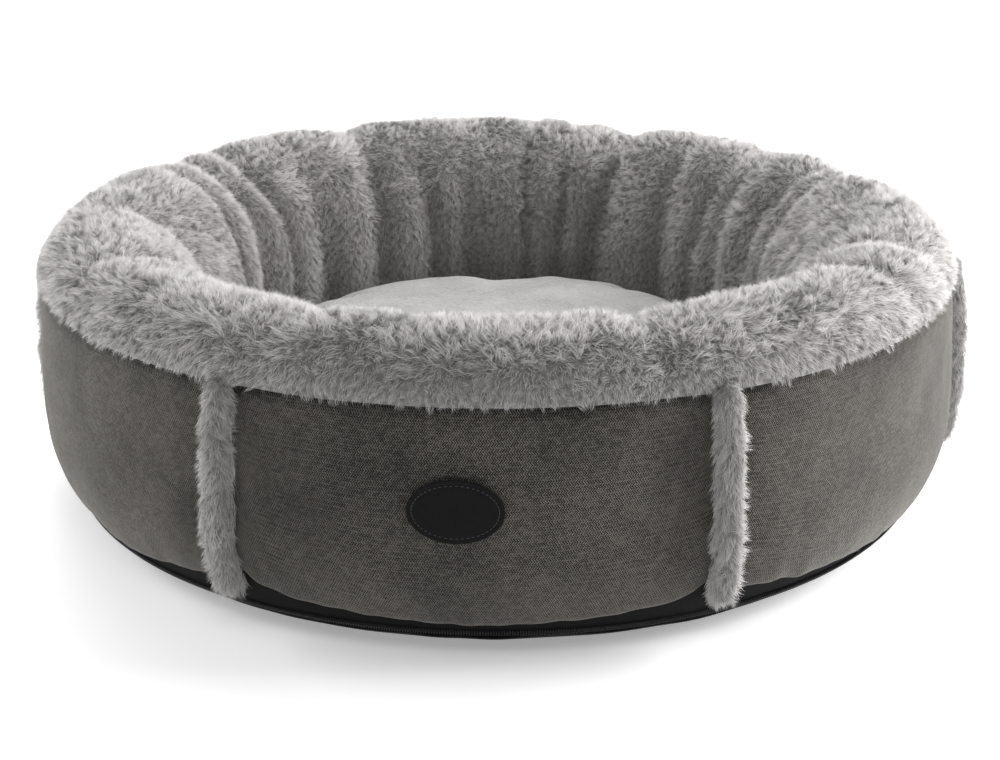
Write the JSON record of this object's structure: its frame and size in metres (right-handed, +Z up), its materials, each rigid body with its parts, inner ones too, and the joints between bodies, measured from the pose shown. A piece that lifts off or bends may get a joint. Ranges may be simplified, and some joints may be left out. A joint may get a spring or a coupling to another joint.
{
  "type": "pet cushion bed",
  "caption": "Round pet bed with a plush-lined fabric bolster, a zip-off base and a loose crowned cushion that lifts out of the nest.",
  "frame": {"origin": "centre of the base's underside, on the floor", "axes": "+Z up, -Y out of the front panel that carries the label, +X to the right seen from the front"},
  "size_m": [0.664, 0.6418, 0.205],
  "materials": {
    "wall_fabric": "matte",
    "plush": "matte",
    "floor_fabric": "matte",
    "inner_bag": "matte",
    "fibre_fill": "matte",
    "base_fabric": "matte",
    "zip_tape": "matte",
    "zip_coil": "satin",
    "zip_metal": "satin",
    "zip_slider": "satin",
    "label_leather": "satin",
    "label_thread": "matte",
    "cushion_velour": "matte",
    "cushion_under": "matte"
  },
  "bodies": {
    "cover": {"wall_panel_front": "wall_fabric", "wall_panel_front_right": "wall_fabric", "wall_panel_back_right": "wall_fabric", "wall_panel_back": "wall_fabric", "wall_panel_back_left": "wall_fabric", "wall_panel_front_left": "wall_fabric", "plush_strap_front_right": "plush", "plush_strap_right": "plush", "plush_strap_back_right": "plush", "plush_strap_back_left": "plush", "plush_strap_left": "plush", "plush_strap_front_left": "plush", "plush_lining": "plush", "floor_liner": "floor_fabric", "bolster_bag": "inner_bag", "bolster_fill": "fibre_fill", "base_panel": "base_fabric", "zip_tape_upper": "zip_tape", "zip_tape_lower": "zip_tape", "zip_coil_upper": "zip_coil", "zip_coil_lower": "zip_coil", "zip_stops": "zip_metal", "label_patch": "label_leather", "label_stitching": "label_thread"},
    "cushion": {"cushion_cover_top": "cushion_velour", "cushion_cover_bottom": "cushion_under", "cushion_fill": "fibre_fill"},
    "slider": {"zip_slider": "zip_slider"},
    "pull": {"zip_pull": "zip_slider"}
  },
  "joints": [
    {"name": "cushion_lift", "type": "slide", "parent": "cover", "child": "cushion", "axis": [0, 0, 1], "range_m": [0, 0.25]},
    {"name": "zip_run", "type": "hinge", "parent": "cover", "child": "slider", "pos_m": [0, 0, 0.018], "axis": [0, 0, 1], "range_deg": [0, 345]},
    {"name": "pull_flip", "type": "hinge", "parent": "slider", "child": "pull", "pos_m": [-0.03257, 0.29825, 0.0156], "axis": [0.0755, -0.6916, -0.7183], "range_deg": [0, 180]}
  ]
}
